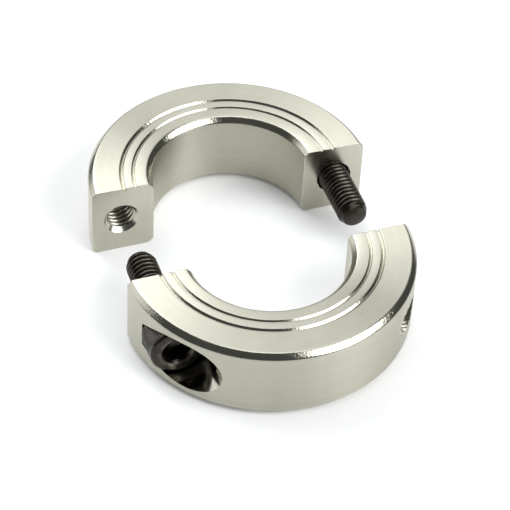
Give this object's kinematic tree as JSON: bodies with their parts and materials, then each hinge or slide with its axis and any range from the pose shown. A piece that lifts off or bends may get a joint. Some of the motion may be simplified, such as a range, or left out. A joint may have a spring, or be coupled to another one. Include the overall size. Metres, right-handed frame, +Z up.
{
  "type": "shaft collar",
  "caption": "Two-piece clamp shaft collar, opened flat: half rings with a chamfered bore, tapped holes and counterbored pockets holding hex socket cap screws.",
  "frame": {"origin": "midway between the two halves as they lie opened, on the plane that their lower faces rest on", "axes": "+Z up, along the axis of the bore; +Y along the screws, from the front half to the rear half; X along the split"},
  "size_m": [0.054, 0.0754, 0.015],
  "materials": {
    "aluminium": "satin machined aluminium with fine turning marks and bright chamfers",
    "black_oxide_steel": "black oxide, lightly oiled"
  },
  "bodies": {
    "rear_half": {"rear_half": "aluminium"},
    "front_half": {"front_half": "aluminium"},
    "rear_screw": {"rear_cap_screw": "black_oxide_steel"},
    "front_screw": {"front_cap_screw": "black_oxide_steel"}
  },
  "joints": [
    {"name": "front_screw_turn", "type": "hinge", "parent": "front_half", "child": "front_screw", "pos_m": [-0.02125, -0.01075, 0.0075], "axis": [0, 1, 0], "range_deg": [0, 7740]},
    {"name": "halves_close", "type": "slide", "parent": "rear_half", "child": "front_half", "axis": [0, 1, 0], "range_m": [0, 0.0215]},
    {"name": "rear_screw_turn", "type": "hinge", "parent": "rear_half", "child": "rear_screw", "pos_m": [0.02125, 0.01075, 0.0075], "axis": [0, -1, 0], "range_deg": [0, 7740]}
  ],
  "couplings": [
    {"joint": "halves_close", "follows": "front_screw_turn", "m_per_rad": 0.00015915},
    {"joint": "rear_screw_turn", "follows": "front_screw_turn", "ratio": 1}
  ]
}
